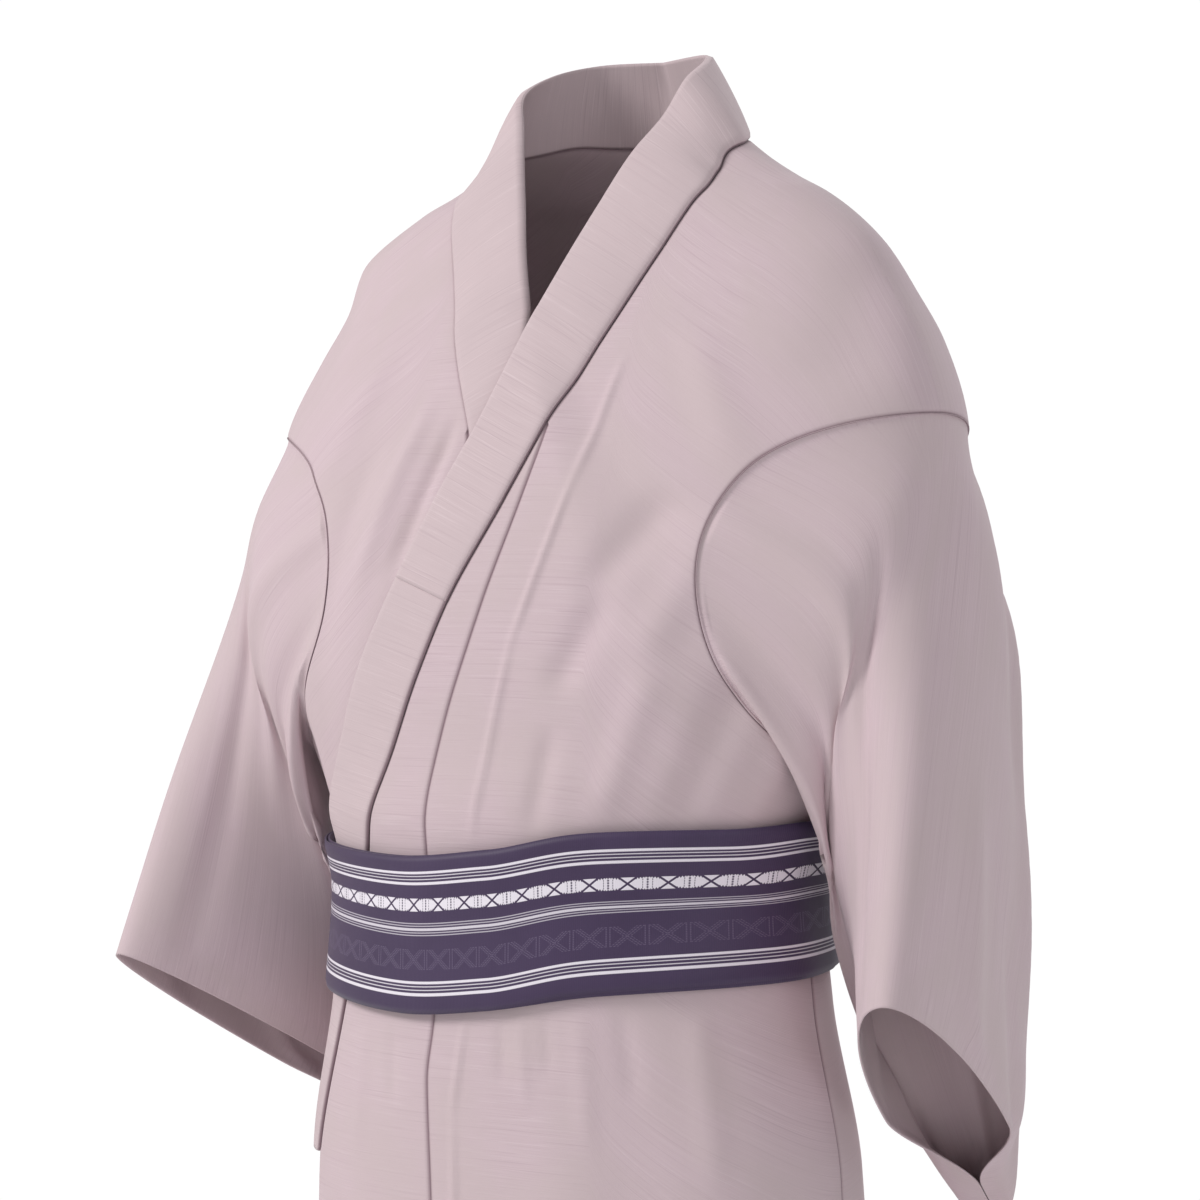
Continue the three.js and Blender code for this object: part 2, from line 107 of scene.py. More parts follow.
# the two long edges of an overlap panel
fronts = {
    "z": [-157.5, -198, -289, -381, -414, -503, -545, -613, -900, -1400],
    "seamAngle": [20.7, 13.4, -2.2, -14.8, -16.5, -14.5, -17.2, -16.6, -16, -15],
    "edgeAngle": [20.7, 8, -15, -34, -41, -53, -58, -64, -66, -67],
}
# an oval in each side
armhole = {"angle": 88, "z": -261, "halfAngle": 34, "halfHeight": 101}
# how far a sleeve stands off its seam below and above, and how much it draws in
sleeveStart = {"under": 3.5, "top": 0.6, "inwards": 0.04}
# five places along the sleeve, from near the armhole to the cuff: the upper fold, the lower fold,
# how far each face stands off the line between them, how flat the lower part is sewn up, and how
# much nearer the body the right sleeve hangs
sleeve = {
    "foldX": [244, 250, 257, 263, 265],
    "foldY": [-14, -48, -84, -115, -128],
    "foldZ": [-196, -284, -370, -450, -482],
    "tailX": [184, 186, 187, 187, 187],
    "tailY": [24, 88, 146, 182, 188],
    "tailZ": [-446, -556, -626, -656, -654],
    "outX": [20, 36, 40, 39, 36],
    "outY": [76, 52, 26, 14, 8],
    "sewn": [0, 0, 0.15, 0.5, 0.985],
    "nearer": [16, 9, 6, 5, 5],
}
# the shares of the way down between which the sewn-up part begins
sewnFrom = {"start": 0.5, "end": 0.8}
sash = {"width": 93, "standOff": 4, "turnStep": 2.4, "outerTurnRise": 2}
sashLine = {
    "angle": [-180, -120, -60, -24, 5, 36, 90, 180],
    "z": [-424, -438, -455, -459, -453.5, -443, -436, -424],
}
sides = {"left": 1, "right": -1}


def hermite(t, start, startSlope, end, endSlope):
    first = start * (2 * t**3 - 3 * t**2 + 1) + startSlope * (t**3 - 2 * t**2 + t)
    last = end * (3 * t**2 - 2 * t**3) + endSlope * (t**3 - t**2)
    return first + last


def column(table, key, name, at):
    # a smooth curve through one column of a table, without overshoot
    xs = np.array(table[key], float)
    ys = np.array(table[name], float)
    if xs[0] > xs[-1]:
        xs, ys = xs[::-1], ys[::-1]
    step = np.diff(xs)
    slope = np.diff(ys) / step
    tangent = np.zeros(len(xs))
    tangent[0], tangent[-1] = slope[0], slope[-1]
    before, after = slope[:-1], slope[1:]
    weightBefore = 2 * step[1:] + step[:-1]
    weightAfter = step[1:] + 2 * step[:-1]
    turns = before * after > 0
    safeBefore = np.where(turns, before, 1)
    safeAfter = np.where(turns, after, 1)
    inside = (weightBefore + weightAfter) / (weightBefore / safeBefore + weightAfter / safeAfter)
    tangent[1:-1] = np.where(turns, inside, 0)
    x = np.clip(np.asarray(at, float), xs[0], xs[-1])
    i = np.clip(np.searchsorted(xs, x, side="right") - 1, 0, len(xs) - 2)
    t = (x - xs[i]) / step[i]
    return hermite(t, ys[i], tangent[i] * step[i], ys[i + 1], tangent[i + 1] * step[i])


def ease(low, high, value):
    # rises softly from nothing at low to one at high
    t = np.clip((np.asarray(value, float) - low) / (high - low), 0, 1)
    return t * t * (3 - 2 * t)


def mix(a, b, t):
    return a + (b - a) * t


def unit(v):
    return v / np.maximum(np.linalg.norm(v, axis=-1, keepdims=True), 1e-9)


def bodyPoint(angle, z):
    # a place on the worn form, by its angle from the centre front towards the left, in degrees
    angle, z = np.broadcast_arrays(np.asarray(angle, float), np.asarray(z, float))
    across, forward = np.sin(np.radians(angle)), np.cos(np.radians(angle))
    depth = np.where(forward > 0, column(sections, "z", "front", z), column(sections, "z", "back", z))
    square = column(sections, "z", "square", z)
    width = np.where(across > 0, column(sections, "z", "left", z), column(sections, "z", "right", z))
    radius = (np.abs(across / width) ** square + np.abs(forward / depth) ** square) ** (-1 / square)
    return np.stack([radius * across, column(sections, "z", "centre", z) - radius * forward, z], -1)


def outward(angle, z):
    angle, z = np.broadcast_arrays(np.asarray(angle, float), np.asarray(z, float))
    sideways = bodyPoint(angle + 0.2, z) - bodyPoint(angle - 0.2, z)
    up = bodyPoint(angle, z + 1) - bodyPoint(angle, z - 1)
    return unit(np.cross(sideways, up))


# where the left front lies over the right one: its rise, the hidden edge's angle in the skirt, and
# the heights and the angles past that edge between which it changes
lap = {"rise": 6.4, "skirtEdge": 66, "collarZ": (-710, -610), "neckZ": (-84, -22), "past": (4, 24)}


def leftLift(angle, z):
    # how far the left front stands off the worn form
    collarEdge = -column(crossing, "edgeZ", "edgeAngle", z)
    underEdge = mix(lap["skirtEdge"], collarEdge, ease(*lap["collarZ"], z))
    below = 1 - ease(*lap["neckZ"], z)
    return lap["rise"] * below * (1 - ease(*lap["past"], angle - underEdge))


# soft folds of the worn cloth, each a line from one place to another with its width and height;
# a trough has a height below nothing
foldColumns = ("fromAngle", "fromZ", "toAngle", "toZ", "width", "height")
bodyFolds = [
    # the pressed line beside the front seam, above and below the sash
    (43, -128, 29, -198, 2.8, 1.2),
    (29, -198, 12, -289, 2.6, 1.4),
    (12, -289, -0.5, -405, 2.6, 1.3),
    (-3, -500, -8, -560, 2.6, 1.2),
    (-8, -560, -8.6, -760, 2.8, 1.2),
    (-8.6, -760, -8, -1395, 3.6, 0.9),
    # hollows and rolls on the left chest
    (52, -205, 33, -262, 11, -3.2),
    (60, -215, 44, -300, 10, 2.4),
    (38, -262, 24, -318, 10, -2.8),
    (47, -300, 35, -395, 9, 2.0),
    (62, -300, 52, -398, 9, -2.4),
    (24, -338, 18, -400, 7, -1.7),
    (72, -330, 66, -396, 7, 1.7),
    # right chest beside the collar
    (-26, -160, -34, -250, 7, -2.4),
    (-38, -150, -44, -262, 8, 2.4),
    (-50, -170, -54, -300, 9, -2.2),
    (-58, -235, -60, -395, 9, 1.8),
    (-70, -300, -68, -398, 8, -1.6),
    # small puckers and soft gathers under the sash
    (8, -503, 9, -540, 4, -0.9),
    (14, -500, 16, -552, 4.5, 0.9),
    (21, -498, 23, -536, 4, -0.9),
    (30, -495, 33, -575, 6, 1.0),
    (40, -492, 44, -548, 5, -1.1),
    (57, -489, 60, -600, 7, 1.3),
    (-30, -512, -30, -560, 5, -0.9),
    (-42, -512, -43, -590, 6, 1.1),
    # shoulders, from the neck towards the sleeves
    (86, -62, 74, -150, 12, -2.2),
    (100, -40, 112, -150, 14, -2.4),
    (-86, -62, -72, -155, 12, -2.4),
    (-102, -38, -114, -140, 14, -2.2),
    (60, -110, 62, -190, 9, 1.8),
    (-58, -118, -62, -205, 9, 1.9),
    # the back, above the sash
    (150, -120, 140, -250, 16, -2.6),
    (-152, -110, -138, -265, 17, -2.8),
    (128, -230, 140, -372, 12, 2.4),
    (-130, -215, -144, -368, 12, 2.2),
    (158, -260, 164, -374, 10, -2.2),
    (-164, -250, -168, -374, 11, -2.0),
    (116, -300, 112, -385, 9, -2.0),
    (-112, -290, -108, -390, 9, -2.2),
    (176, -300, 174, -374, 8, 1.4),
    # the skirt, front, sides and back
    (26, -560, 22, -1180, 24, 2.2),
    (44, -540, 50, -1390, 22, -2.8),
    (66, -620, 62, -1395, 18, 2.8),
    (92, -500, 96, -1050, 14, -2.6),
    (104, -640, 100, -1395, 20, 3.0),
    (122, -520, 128, -1250, 18, -3.0),
    (142, -700, 138, -1395, 22, 3.2),
    (160, -490, 166, -980, 14, -2.6),
    (-174, -560, -170, -1395, 20, 2.4),
    (-156, -490, -160, -1120, 16, -2.8),
    (-136, -640, -140, -1395, 20, 3.0),
    (-118, -510, -114, -1300, 17, -3.0),
    (-98, -560, -100, -1395, 18, 2.6),
    (-84, -520, -80, -1180, 13, -2.2),
    (-44, -640, -40, -1390, 22, 2.2),
    (-28, -700, -30, -1320, 18, -2.0),
]
bodyFolds = [dict(zip(foldColumns, row)) for row in bodyFolds]
# one degree round the body is about this many millimetres of cloth
degreeWidth = math.radians(135.0)
# every fold's height is its row's times this
foldDepth = 1.5


def foldHeight(folds, along, z, scale=degreeWidth):
    # a fold is deepest in its middle and fades out at both ends
    total = np.zeros(np.broadcast(along, z).shape)
    for fold in folds:
        startX, endX = fold["fromAngle"] * scale, fold["toAngle"] * scale
        runX, runZ = endX - startX, fold["toZ"] - fold["fromZ"]
        offX, offZ = along * scale - startX, z - fold["fromZ"]
        length = math.hypot(runX, runZ)
        t = (offX * runX + offZ * runZ) / length**2
        side = (offX * runZ - offZ * runX) / length
        fade = ease(-0.12, 0.25, t) * (1 - ease(0.75, 1.12, t))
        total += foldDepth * fold["height"] * fade * np.exp(-((side / fold["width"]) ** 2))
    return total


# how far past the sash's edge the folds come free, and where they end at the neck
freeCloth = {"past": (-12, 30), "neckZ": (-30, 0)}
# the cloth swells a little just above the sash
swelling = {"height": 2.4, "past": 26, "spread": 22, "z": (-420, -390)}


def drape(angle, z):
    # the sash holds the cloth still, and the neck seam keeps its line
    past = np.abs(z - column(sashLine, "angle", "z", angle)) - sash["width"] / 2
    free = ease(*freeCloth["past"], past) * (1 - ease(*freeCloth["neckZ"], z))
    swell = swelling["height"] * np.exp(-((past - swelling["past"]) / swelling["spread"]) ** 2)
    swell = swell * ease(*swelling["z"], z)
    return foldHeight(bodyFolds, angle, z) * free + swell


def onBody(angle, z, lift):
    return bodyPoint(angle, z) + outward(angle, z) * np.asarray(lift)[..., None]


def clothPoint(side, angle, z):
    # a place on one half's cloth with its lap and folds, by the angle from the centre front
    actual = side * np.asarray(angle, float)
    lift = leftLift(actual, z) if side > 0 else 0
    return onBody(actual, z, lift + drape(actual, z))


def seamMark(away):
    # one on the sewn line, and nothing a few millimetres away from it
    return np.exp(-((away / seamWidth) ** 2))


def joined(*parts, axis=0):
    return np.concatenate(parts, axis=axis)


def spaced(start, end, count):
    return np.linspace(start, end, count + 1)


def pieceMesh(name, inner, outer, uvInner, closed=False, seam=None):
    # a closed wall between two grids of points, with its cloth's own coordinates in metres
    rows, columns = inner.shape[:2]
    points = joined(inner.reshape(-1, 3), outer.reshape(-1, 3)) * 0.001
    uv = joined(uvInner.reshape(-1, 2), uvInner.reshape(-1, 2))
    half = rows * columns
    i, j = np.meshgrid(np.arange(rows - 1), np.arange(columns if closed else columns - 1), indexing="ij")
    a, b = i * columns + j, i * columns + (j + 1) % columns
    c, d = b + columns, a + columns
    quads = [np.stack([a, b, c, d], -1).reshape(-1, 4), np.stack([d, c, b, a], -1).reshape(-1, 4) + half]
    across = np.arange(columns if closed else columns - 1)
    rims = []
    for row, flip in ((0, False), (rows - 1, True)):
        rims.append((row * columns + across, row * columns + (across + 1) % columns, flip))
    if not closed:
        down = np.arange(rows - 1)
        for edge, flip in ((0, True), (columns - 1, False)):
            rims.append((down * columns + edge, (down + 1) * columns + edge, flip))
    for p, q, flip in rims:
        rim = np.stack([q, p, p + half, q + half], -1)
        quads.append(rim[:, ::-1] if flip else rim)
    quads = joined(*quads)
    faces = points[quads]
    volume = np.einsum("ij,ij->i", faces[:, 0], np.cross(faces[:, 1], faces[:, 2])).sum()
    volume += np.einsum("ij,ij->i", faces[:, 0], np.cross(faces[:, 2], faces[:, 3])).sum()
    if volume < 0:
        # the faces look inwards, so they are turned round
        quads = quads[:, ::-1]
    mesh = bpy.data.meshes.new(name)
    mesh.from_pydata(points.tolist(), [], quads.tolist())
    layer = mesh.uv_layers.new(name="cloth")
    corners = np.zeros(len(mesh.loops), int)
    mesh.loops.foreach_get("vertex_index", corners)
    at = uv[corners]
    if closed:
        # the last column's cells run on to a full turn
        full = uvInner[:, -1, 0].max() * columns / (columns - 1)
        cells = at.reshape(-1, 4, 2)
        u = cells[:, :, 0]
        wraps = (u.max(1) - u.min(1)) > 0.5 * full
        cells[:, :, 0] = np.where(wraps[:, None] & (u < 0.5 * full), u + full, u)
        at = cells.reshape(-1, 2)
    layer.data.foreach_set("uv", at.astype(np.float32).ravel())
    mesh.polygons.foreach_set("use_smooth", np.ones(len(mesh.polygons), bool))
    if seam is not None:
        marks = mesh.attributes.new("seam", "FLOAT", "POINT")
        marks.data.foreach_set("value", np.tile(seam.astype(np.float32).ravel(), 2))
    mesh.update()
    piece = bpy.data.objects.new(name, mesh)
    scene.collection.objects.link(piece)
    return piece


def finishPiece(piece, node, material):
    piece.data.materials.append(material)
    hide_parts(node)
    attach(piece, "root")


def srgb(r, g, b):
    # a colour as the eye sees it, 0 to 255, in the shader's own scale
    def line(c):
        c /= 255
        return c / 12.92 if c <= 0.04045 else ((c + 0.055) / 1.055) ** 2.4

    return (line(r), line(g), line(b), 1.0)


# materials, with shared effects as node groups
def newGroup(name, inputs, outputs):
    group = bpy.data.node_groups.new(name, "ShaderNodeTree")
    for socket, kind, value in inputs:
        made = group.interface.new_socket(socket, in_out="INPUT", socket_type="NodeSocket" + kind)
        if value is not None:
            made.default_value = value
    for socket, kind in outputs:
        group.interface.new_socket(socket, in_out="OUTPUT", socket_type="NodeSocket" + kind)
    return group, group.nodes.new("NodeGroupInput"), group.nodes.new("NodeGroupOutput")


class Wires:
    # short ways to place and join nodes in one tree
    def __init__(self, tree):
        self.tree = tree

    def put(self, socket, value):
        if isinstance(value, bpy.types.NodeSocket):
            self.tree.links.new(value, socket)
        else:
            socket.default_value = value

    def node(self, kind, **settings):
        made = self.tree.nodes.new(kind)
        for name, value in settings.items():
            setattr(made, name, value)
        return made

    def math(self, operation, *values):
        made = self.node("ShaderNodeMath", operation=operation)
        for socket, value in zip(made.inputs, values):
            self.put(socket, value)
        return made.outputs[0]

    def times(self, a, b):
        return self.math("MULTIPLY", a, b)

    def less(self, a, b):
        return self.math("SUBTRACT", a, b)

    def blend(self, factor, a, b):
        made = self.node("ShaderNodeMix", data_type="RGBA")
        self.put(made.inputs[0], factor)
        self.put(made.inputs[6], a)
        self.put(made.inputs[7], b)
        return made.outputs[2]

    def steps(self, value, low, high, toLow=0.0, toHigh=1.0):
        made = self.node("ShaderNodeMapRange", interpolation_type="SMOOTHSTEP")
        for socket, given in zip(made.inputs, (value, low, high, toLow, toHigh)):
            self.put(socket, given)
        return made.outputs[0]

    def noise(self, vector, scale=1.0, detail=1.0, rough=0.5):
        made = self.node("ShaderNodeTexNoise")
        given = {"Vector": vector, "Scale": scale, "Detail": detail, "Roughness": rough}
        for socket, value in given.items():
            self.put(made.inputs[socket], value)
        return made.outputs["Fac"]

    def stretch(self, vector, x, y, shift):
        made = self.node("ShaderNodeMapping")
        self.put(made.inputs["Vector"], vector)
        made.inputs["Scale"].default_value = (x, y, 1)
        made.inputs["Location"].default_value = (shift, shift * 0.7, 0)
        return made.outputs[0]

    def split(self, vector):
        made = self.node("ShaderNodeSeparateXYZ")
        self.put(made.inputs[0], vector)
        return made.outputs

    def between(self, value, low, high, soft):
        # one inside low to high, nothing outside
        rise = self.steps(value, low - soft, low + soft)
        fall = self.steps(value, high - soft, high + soft)
        return self.less(rise, fall)

    def figurePlace(self, across, along, size):
        # how far from the band's middle line, and from the cross, each up to one
        middle = (size["top"] + size["bottom"]) / 2
        half = (size["bottom"] - size["top"]) / 2
        q = self.math("ABSOLUTE", self.math("DIVIDE", self.less(across, middle), half))
        turn = self.math("FRACT", self.math("DIVIDE", along, size["repeat"]))
        return q, self.times(self.math("ABSOLUTE", self.less(turn, 0.5)), 2.0)

    def zigzag(self, value, teeth):
        # from nothing up to a half and back, once for each tooth
        turn = self.math("FRACT", self.times(value, teeth))
        return self.math("ABSOLUTE", self.less(turn, 0.5))

    def total(self, values):
        added = values[0]
        for value in values[1:]:
            added = self.math("ADD", added, value)
        return added


def slubWeaveGroup():
    # thin uneven weft threads that run straight across the cloth, with a few thicker ones
    group, given, made = newGroup(
        "slubWeave",
        [
            ("Place", "Vector", None),
            ("Ground", "Color", (0.6, 0.5, 0.5, 1)),
            ("Pale", "Color", (0.7, 0.6, 0.6, 1)),
            ("Shade", "Color", (0.5, 0.45, 0.45, 1)),
            ("Slubs", "Float", 0.5),
        ],
        [("Colour", "Color"), ("Rough", "Float"), ("Height", "Float")],
    )
    w = Wires(group)
    place = given.outputs["Place"]
    # how often each kind of thread changes in a metre, along the weft and across it
    threads = ((22, 2300, 0.0), (10, 900, 3.1), (17, 760, 7.7), (2300, 40, 5.0))
    fine, wide, thick, warp = (w.noise(w.stretch(place, *thread)) for thread in threads)
    streak = w.steps(fine, 0.35, 0.65)
    dark = w.steps(wide, 0.42, 0.3)
    slub = w.steps(thick, 0.6, 0.7)
    tone = w.blend(w.times(streak, 0.4), given.outputs["Ground"], given.outputs["Pale"])
    tone = w.blend(w.times(dark, 0.6), tone, given.outputs["Shade"])
    tone = w.blend(w.times(slub, given.outputs["Slubs"]), tone, given.outputs["Pale"])
    w.put(made.inputs["Colour"], tone)
    w.put(made.inputs["Rough"], w.math("MULTIPLY_ADD", streak, -0.06, 0.88))
    raised = w.math("MULTIPLY_ADD", warp, 0.3, w.times(streak, 0.4))
    w.put(made.inputs["Height"], w.math("MULTIPLY_ADD", slub, 0.5, raised))
    return group


# the sash's woven lines: where each starts and ends across its width, and how white it is
lineColumns = ("start", "end", "white")
sashLines = [
    (0.098, 0.114, 1.0),
    (0.126, 0.132, 0.9),
    (0.147, 0.153, 0.9),
    (0.168, 0.186, 1.0),
    (0.434, 0.440, 0.62),
    (0.450, 0.456, 0.62),
    (0.466, 0.483, 0.8),
    (0.492, 0.498, 0.62),
    (0.508, 0.514, 0.62),
    (0.797, 0.813, 1.0),
    (0.826, 0.832, 0.9),
    (0.848, 0.854, 0.9),
    (0.869, 0.888, 1.0),
]
sashLines = [dict(zip(lineColumns, row)) for row in sashLines]
# the white figures and the ones in the ground's own colour: their band across the sash, their
# repeat in metres, and arm, where a cross's arms reach the band's edge
figure = {"top": 0.276, "bottom": 0.362, "repeat": 0.0205, "arm": 0.46, "line": 0.16}
leafShape = {"from": 0.8, "slope": 0.5, "top": 1.12, "teeth": 7.0, "toothDepth": 0.62, "dots": 2.5}
shadow = {"top": 0.598, "bottom": 0.727, "repeat": 0.0205, "arm": 0.72, "points": 6.0, "rows": 5.0}
ribWidth = 0.0011


def sashWeaveGroup():
    # Across is nothing at the sash's upper edge and one at its lower edge, Along is in metres
    group, given, made = newGroup(
        "sashWeave",
        [("Across", "Float", 0.5), ("Along", "Float", 0.0)],
        [("White", "Float"), ("Shadow", "Float"), ("Rib", "Float"), ("Height", "Float")],
    )
    w = Wires(group)
    across, along = given.outputs["Across"], given.outputs["Along"]
    soft = 0.0022
    lines = [
        w.times(w.between(across, line["start"], line["end"], soft), line["white"])
        for line in sashLines
    ]
    # the white figures: a dark cross with a wedge above and below it, and a leaf with a toothed
    # edge on each side, cut by a dotted line where two figures meet
    q, p = w.figurePlace(across, along, figure)
    arm = w.math("DIVIDE", p, figure["arm"])
    line = figure["line"]
    wedge = w.steps(w.less(q, arm), line, line + 0.07)
    wedge = w.times(wedge, w.steps(p, figure["arm"], figure["arm"] - 0.06))
    tooth = w.zigzag(p, leafShape["teeth"])
    past = w.less(p, leafShape["from"])
    top = w.math("MULTIPLY_ADD", past, leafShape["slope"], leafShape["top"])
    toothed = w.math("MULTIPLY_ADD", tooth, -leafShape["toothDepth"], top)
    top = w.math("MINIMUM", w.less(arm, line), toothed)
    leaf = w.steps(w.less(top, q), 0.0, 0.06)
    dots = w.zigzag(q, leafShape["dots"])
    gaps = w.math("MAXIMUM", w.steps(p, 0.93, 0.98), w.between(p, 0.74, 0.775, 0.012))
    meeting = w.times(gaps, w.steps(dots, 0.42, 0.3))
    leaf = w.times(leaf, w.less(1.0, meeting))
    figures = w.times(w.steps(q, 1.0, 0.94), w.math("MAXIMUM", wedge, leaf))
    white = w.math("MINIMUM", w.total([*lines, figures]), 1.0)
    w.put(made.inputs["White"], white)
    # the band in the ground's own colour: crosses of dotted lines with rows of points between them
    q, p = w.figurePlace(across, along, shadow)
    arm = w.math("ABSOLUTE", w.less(q, w.math("DIVIDE", p, shadow["arm"])))
    arms = w.math("MAXIMUM", w.steps(arm, 0.09, 0.05), w.between(arm, 0.2, 0.3, 0.03))
    points = w.zigzag(q, shadow["points"])
    rows = w.zigzag(p, shadow["rows"])
    between = w.times(w.steps(rows, 0.22, 0.12), w.steps(p, 0.7, 0.8))
    shaded = w.times(w.math("MAXIMUM", arms, between), w.steps(points, 0.4, 0.25))
    shaded = w.times(shaded, w.steps(q, 1.0, 0.93))
    w.put(made.inputs["Shadow"], shaded)
    # fine ribs run across the sash
    rib = w.math("SINE", w.times(along, 2 * math.pi / ribWidth))
    w.put(made.inputs["Rib"], w.math("MULTIPLY_ADD", rib, 0.5, 0.5))
    raised = w.math("MULTIPLY_ADD", white, 0.8, w.times(shaded, 0.5))
    w.put(made.inputs["Height"], w.math("MULTIPLY_ADD", rib, 0.16, raised))
    return group


def clothToneGroup():
    # a light unevenness of tone that is wider than the threads, as on any worn cloth
    group, given, made = newGroup(
        "clothTone",
        [("Place", "Vector", None), ("Size", "Float", 12.0)],
        [("Tone", "Float")],
    )
    w = Wires(group)
    w.put(made.inputs["Tone"], w.noise(given.outputs["Place"], given.outputs["Size"], 3.0, 0.55))
    return group


slubWeave = slubWeaveGroup()
sashWeave = sashWeaveGroup()
clothTone = clothToneGroup()


def startMaterial(name):
    material = bpy.data.materials.new(name)
    material.use_nodes = True
    tree = material.node_tree
    shader = next(node for node in tree.nodes if node.type == "BSDF_PRINCIPLED")
    return material, Wires(tree), shader


def groupNode(w, group, **values):
    made = w.node("ShaderNodeGroup")
    made.node_tree = group
    for name, value in values.items():
        w.put(made.inputs[name], value)
    return made


def finishMaterial(w, shader, height, settings):
    for name, value in settings["shader"].items():
        w.put(shader.inputs[name], value)
    bump = w.node("ShaderNodeBump")
    w.put(bump.inputs["Height"], height)
    w.put(bump.inputs["Distance"], settings["bumpDistance"])
    w.put(bump.inputs["Strength"], settings["bump"])
    w.put(shader.inputs["Normal"], bump.outputs[0])


# the seam mark on a mesh paints shade into the cloth's colour along its sewn lines, standing in for the
# shade in the grooves between panels
clothFinish = {
    "toneSize": 16.0,
    "tone": 0.8,
    # the colour of the painted shade in the seam grooves, and how strongly it is painted
    "seamShadeColour": srgb(122, 94, 106),
    "seam": 0.7,
    "shader": {"Sheen Weight": 0.12, "Sheen Roughness": 0.5, "Specular IOR Level": 0.25},
    "bumpDistance": 0.0002,
    "bump": 0.35,
}


def kimonoMaterial(name, colours, slubs):
    material, w, shader = startMaterial(name)
    place = w.node("ShaderNodeUVMap", uv_map="cloth").outputs[0]
    threads = {socket: colours[socket.lower()] for socket in ("Ground", "Pale", "Shade")}
    weave = groupNode(w, slubWeave, Place=place, **threads, Slubs=slubs)
    tone = groupNode(w, clothTone, Place=place, Size=clothFinish["toneSize"])
    amount = w.steps(tone.outputs[0], 0.3, 0.7, 0.0, clothFinish["tone"])
    cloth = w.blend(amount, weave.outputs["Colour"], colours["cool"])
    # painted shade along the seams: the seam mark blends the cloth's colour towards a darker mauve
    sewn = w.node("ShaderNodeAttribute", attribute_name="seam").outputs["Fac"]
    sewn = w.times(sewn, clothFinish["seam"])
    w.put(shader.inputs["Base Color"], w.blend(sewn, cloth, clothFinish["seamShadeColour"]))
    w.put(shader.inputs["Roughness"], weave.outputs["Rough"])
    finishMaterial(w, shader, weave.outputs["Height"], clothFinish)
    return material


clothColours = {
    "ground": srgb(205, 184, 191),
    "pale": srgb(217, 198, 204),
    "shade": srgb(192, 170, 178),
    "cool": srgb(204, 186, 189),
}
collarColours = {
    "ground": srgb(204, 185, 189),
    "pale": srgb(218, 200, 204),
    "shade": srgb(189, 169, 175),
    "cool": srgb(203, 185, 189),
}
clothMaterial = kimonoMaterial("kimono_slub_cloth", clothColours, 0.55)
collarMaterial = kimonoMaterial("kimono_collar_cloth", collarColours, 0.8)


sashFinish = {
    "toneSize": 22.0,
    "ground": srgb(66, 50, 82),
    "paler": srgb(76, 60, 93),
    "rib": srgb(50, 40, 68),
    "shadow": srgb(108, 94, 124),
    "white": srgb(236, 230, 240),
    "shader": {"Sheen Weight": 0.15, "Specular IOR Level": 0.35},
    "bumpDistance": 0.00025,
    "bump": 0.6,
}


def sashClothMaterial():
    material, w, shader = startMaterial("sash_weave")
    place = w.node("ShaderNodeUVMap", uv_map="cloth").outputs[0]
    parts = w.split(place)
    across = w.math("DIVIDE", parts[1], sash["width"] * 0.001)
    weave = groupNode(w, sashWeave, Across=across, Along=parts[0])
    tone = groupNode(w, clothTone, Place=place, Size=sashFinish["toneSize"])
    amount = w.steps(tone.outputs[0], 0.3, 0.7, 0.0, 0.5)
    cloth = w.blend(amount, sashFinish["ground"], sashFinish["paler"])
    for name, strength in (("Rib", 0.22), ("Shadow", 0.75)):
        woven = w.times(weave.outputs[name], strength)
        cloth = w.blend(woven, cloth, sashFinish[name.lower()])
    w.put(shader.inputs["Base Color"], w.blend(weave.outputs["White"], cloth, sashFinish["white"]))
    w.put(shader.inputs["Roughness"], w.steps(weave.outputs["White"], 0.0, 1.0, 0.52, 0.45))
    finishMaterial(w, shader, weave.outputs["Height"], sashFinish)
    return material


sashMaterial = sashClothMaterial()
print("materials made")


def armholePlace(turn):
    # once round the armhole, from nothing at its top
    angle = armhole["angle"] - armhole["halfAngle"] * np.sin(turn)
    z = armhole["z"] + armhole["halfHeight"] * np.cos(turn)
    return angle, z


neckSteps = len(neck["seamAngle"])
neckRows = {
    "at": list(range(neckSteps + 1)),
    "angle": neck["seamAngle"] + crossing["seamAngle"][:1],
    "z": neck["seamZ"] + crossing["seamZ"][:1],
}


def neckSeam(at):
    return column(neckRows, "at", "angle", at), column(neckRows, "at", "z", at)


def overlapSeam(z):
    return column(fronts, "z", "seamAngle", z)


def overlapEdge(z):
    upper = column(crossing, "seamZ", "seamAngle", z)
    lower = column(fronts, "z", "edgeAngle", z)
    return np.where(z > collarEndZ, upper, lower)


# the body's two lengths of cloth, each from the back hem over the shoulder to the front hem, with
# the rows of cells along each stretch of it
bodyCut = {"across": 72, "crowding": 1.25, "seamDip": 0.95, "skirtTop": -620, "waistEnd": -612}
bodyRows = {"skirt": 90, "backWaist": 56, "back": 60, "neck": 110, "collar": 16, "chest": 66,
            "frontWaist": 60}
# the cloth's own width over the shoulder, for each millimetre across
shoulderStretch = 1.25
# columns of a panel lie close together beside its seams
besideSeam = (0.0, 0.5, 1.1, 2.0, 3.6)


def fanPlaces():
    # the cut edge from the centre back round the neck and down the front, as high as the armhole
    backZ = spaced(underarmZ, 0, bodyRows["back"])
    neckAngle, neckZ = neckSeam(spaced(0, neckSteps, bodyRows["neck"]))
    collarZ = spaced(crossing["seamZ"][0] - 2, tipZ, bodyRows["collar"])
    collarAngle = column(crossing, "seamZ", "seamAngle", collarZ)
    chestZ = spaced(tipZ - 2, underarmZ, bodyRows["chest"])
    angle = joined(np.full(len(backZ), 180.0), neckAngle, collarAngle, overlapSeam(chestZ))
    z = joined(backZ, neckZ, collarZ, chestZ)
    return angle, z


